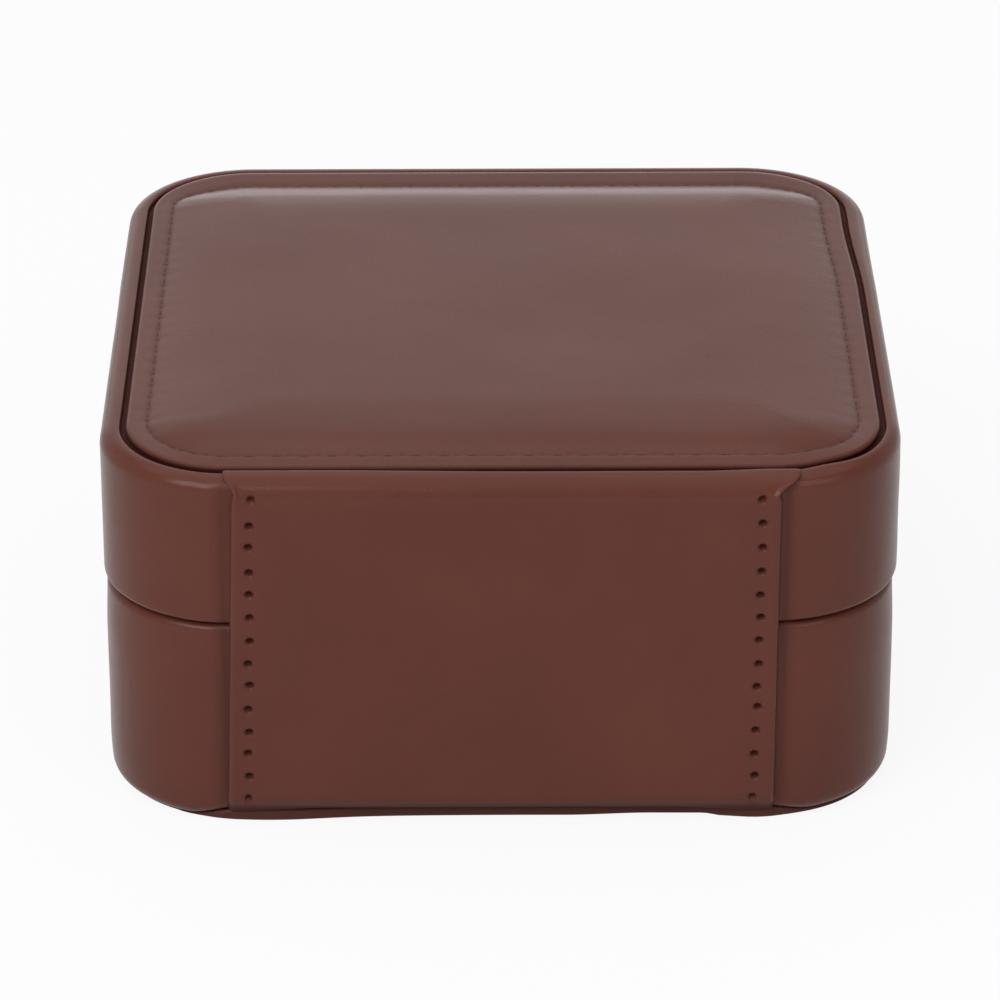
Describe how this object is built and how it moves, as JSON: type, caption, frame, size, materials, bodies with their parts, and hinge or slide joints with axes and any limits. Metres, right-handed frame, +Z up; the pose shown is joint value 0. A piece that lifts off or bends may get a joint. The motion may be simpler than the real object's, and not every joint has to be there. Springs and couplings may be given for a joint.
{
  "type": "travel jewelry box",
  "caption": "Square leather-covered travel jewelry box with rounded corners, a padded lid on a stitched leather hinge, a snap tab, ring rolls and dividers.",
  "frame": {"origin": "middle of the flat underside, on the surface that the box stands on", "axes": "+Z up; -Y towards the front with the snap tab, +Y towards the hinge; +X to the right when facing the front"},
  "size_m": [0.1, 0.1062, 0.0496],
  "materials": {
    "outer_leather": "smooth semi-gloss brown leather, stitched tone on tone",
    "board": "raw moulded fibreboard, hidden under leather and lining",
    "velvet": "short-pile velvet",
    "foam": "soft foam, hidden",
    "pocket_fabric": "gathered velvet",
    "elastic": "ribbed elastic binding",
    "snap_metal": "satin antique brass",
    "hook_metal": "polished brass wire"
  },
  "bodies": {
    "base": {"base_bottom_panel": "outer_leather", "base_shell": "board", "base_side_wrap": "outer_leather", "base_wall_liner": "velvet", "base_floor_pad": "velvet", "ring_roll_1": "velvet", "ring_roll_2": "velvet", "ring_roll_3": "velvet", "ring_roll_4": "velvet", "snap_stud": "snap_metal", "snap_post": "snap_metal", "hinge_panel_lower": "outer_leather"},
    "long_divider": {"long_divider": "velvet"},
    "left_divider": {"cross_divider_left": "velvet"},
    "right_divider": {"cross_divider_right": "velvet"},
    "lid": {"lid_shell": "board", "lid_side_wrap": "outer_leather", "top_panel_board": "board", "top_panel_foam": "foam", "top_panel_cover": "outer_leather", "lid_wall_liner": "velvet", "lid_ceiling_pad": "velvet", "hinge_panel_upper": "outer_leather", "hook_strip": "outer_leather", "necklace_hook_1": "hook_metal", "necklace_hook_2": "hook_metal", "necklace_hook_3": "hook_metal", "pocket": "pocket_fabric", "pocket_elastic": "elastic", "tab_root": "outer_leather"},
    "tab": {"tab_flap": "outer_leather", "snap_cap": "snap_metal", "snap_socket": "snap_metal"}
  },
  "joints": [
    {"name": "lid_hinge", "type": "hinge", "parent": "base", "child": "lid", "pos_m": [0, 0.051, 0.028], "axis": [-1, 0, 0], "range_deg": [0, 110]},
    {"name": "tab_hinge", "type": "hinge", "parent": "lid", "child": "tab", "pos_m": [0, -0.05165, 0.0365], "axis": [-1, 0, 0], "range_deg": [-2.84, 90]},
    {"name": "long_divider_lift", "type": "slide", "parent": "base", "child": "long_divider", "axis": [0, 0, 1], "range_m": [0, 0.008]},
    {"name": "left_divider_lift", "type": "slide", "parent": "base", "child": "left_divider", "axis": [0, 0, 1], "range_m": [0, 0.008]},
    {"name": "right_divider_lift", "type": "slide", "parent": "base", "child": "right_divider", "axis": [0, 0, 1], "range_m": [0, 0.008]}
  ]
}
